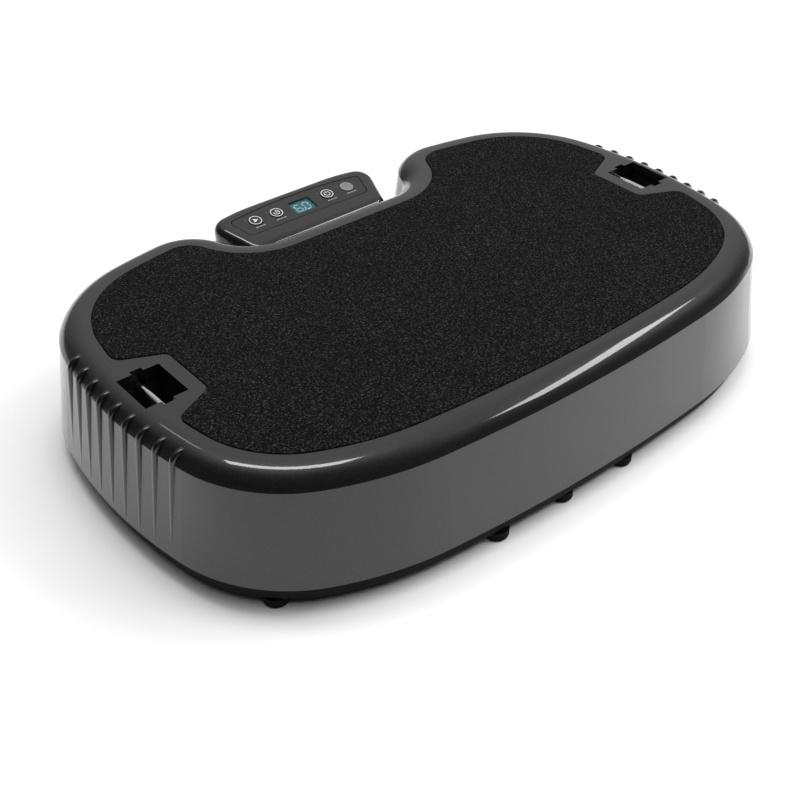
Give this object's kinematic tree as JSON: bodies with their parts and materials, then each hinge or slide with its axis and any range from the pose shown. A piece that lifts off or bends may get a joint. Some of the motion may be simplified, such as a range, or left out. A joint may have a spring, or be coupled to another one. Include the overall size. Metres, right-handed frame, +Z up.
{
  "type": "vibration plate",
  "caption": "Low whole-body vibration platform with a grit mat, graphite shell with finned ends, strap slots with bars and a rear key console.",
  "frame": {"origin": "middle of the footprint box, on the floor under the rubber feet", "axes": "+X along the length, +Z up, the long plain front wall faces -Y and the console is at +Y"},
  "size_m": [0.6928, 0.4594, 0.13],
  "materials": {
    "mat": "moulded foam rubber with a fine grit texture",
    "shell": "graphite metallic lacquer with fine flake",
    "black_plastic": "fine moulded texture",
    "chrome": "polished",
    "aluminium": "brushed",
    "frame_paint": "black powder coat",
    "steel": "brushed",
    "zinc": "zinc plated",
    "isolator_rubber": "natural rubber, matt",
    "motor_paint": "satin enamel",
    "winding": "enamelled copper",
    "cast_weight": "as cast, machined faces",
    "tray_plastic": "moulded black",
    "foot_rubber": "matt",
    "circuit_board": "green solder mask",
    "capacitor_sleeve": "shrink sleeve",
    "transformer_tape": "tape",
    "overlay": "printed film",
    "lens": "clear tinted",
    "display": "lit segments",
    "key": "printed ring and symbol",
    "mode_key": "light grey print",
    "brass": "plated",
    "rocker_plastic": "gloss black",
    "cable_sheath": "smooth sheath"
  },
  "bodies": {
    "base": {"base_tray": "tray_plastic", "rubber_feet": "foot_rubber", "isolators": "isolator_rubber", "isolator_base_plates": "zinc", "power_board": "circuit_board", "heat_sink": "aluminium", "capacitors": "capacitor_sleeve", "transformer": "transformer_tape", "console_housing": "shell", "console_screws": "zinc", "console_overlay": "overlay", "display_lens": "lens", "display_module": "display", "control_board": "circuit_board", "key_switches": "black_plastic", "power_inlet": "black_plastic", "inlet_pins": "brass", "switch_bezel": "black_plastic", "signal_cable": "cable_sheath", "mains_cable": "cable_sheath"},
    "deck": {"top_cover": "shell", "side_skirt": "shell", "standing_mat": "mat", "deck_plate": "aluminium", "deck_screws": "zinc", "strap_pocket_left": "black_plastic", "strap_pocket_right": "black_plastic", "strap_bar_left": "chrome", "strap_bar_right": "chrome", "long_rails": "frame_paint", "cross_rails": "frame_paint", "motor_mount_plate": "steel", "drive_bolts": "zinc", "isolator_top_plates": "zinc", "motor_can_front": "motor_paint", "motor_can_rear": "motor_paint", "stator_front": "winding", "stator_rear": "winding", "end_bells_front": "aluminium", "end_bells_rear": "aluminium", "bearings_front": "steel", "bearings_rear": "steel"},
    "front_shaft": {"rotor_front": "steel", "eccentric_weights_front": "cast_weight"},
    "rear_shaft": {"rotor_rear": "steel", "eccentric_weights_rear": "cast_weight"},
    "play_button": {"play_key": "key"},
    "timer_button": {"timer_key": "key"},
    "power_button": {"power_key": "key"},
    "mode_button": {"mode_key": "mode_key"},
    "rocker": {"switch_rocker": "rocker_plastic"}
  },
  "joints": [
    {"name": "deck_bounce", "type": "slide", "parent": "base", "child": "deck", "axis": [0, 0, 1], "range_m": [-0.001, 0.001], "stiffness_N_per_m": 100000, "springref_m": 0.00139, "deforming": ["isolators"]},
    {"name": "front_shaft_spin", "type": "hinge", "parent": "deck", "child": "front_shaft", "pos_m": [0, -0.04315, 0.05], "axis": [1, 0, 0], "continuous": true},
    {"name": "rear_shaft_spin", "type": "hinge", "parent": "deck", "child": "rear_shaft", "pos_m": [0, 0.03285, 0.05], "axis": [1, 0, 0], "continuous": true},
    {"name": "play_key_press", "type": "slide", "parent": "base", "child": "play_button", "axis": [0, -0.1819, 0.9833], "range_m": [-0.0005, 0], "stiffness_N_per_m": 2500, "springref_m": 0.0002},
    {"name": "timer_key_press", "type": "slide", "parent": "base", "child": "timer_button", "axis": [0, -0.1819, 0.9833], "range_m": [-0.0005, 0], "stiffness_N_per_m": 2500, "springref_m": 0.0002},
    {"name": "power_key_press", "type": "slide", "parent": "base", "child": "power_button", "axis": [0, -0.1819, 0.9833], "range_m": [-0.0005, 0], "stiffness_N_per_m": 2500, "springref_m": 0.0002},
    {"name": "mode_key_press", "type": "slide", "parent": "base", "child": "mode_button", "axis": [0, -0.1819, 0.9833], "range_m": [-0.0005, 0], "stiffness_N_per_m": 2500, "springref_m": 0.0002},
    {"name": "mains_rocker", "type": "hinge", "parent": "base", "child": "rocker", "pos_m": [0.022, 0.22585, 0.045], "axis": [1, 0, 0], "range_deg": [-16, 0]}
  ],
  "couplings": [
    {"joint": "rear_shaft_spin", "follows": "front_shaft_spin", "ratio": -1}
  ]
}
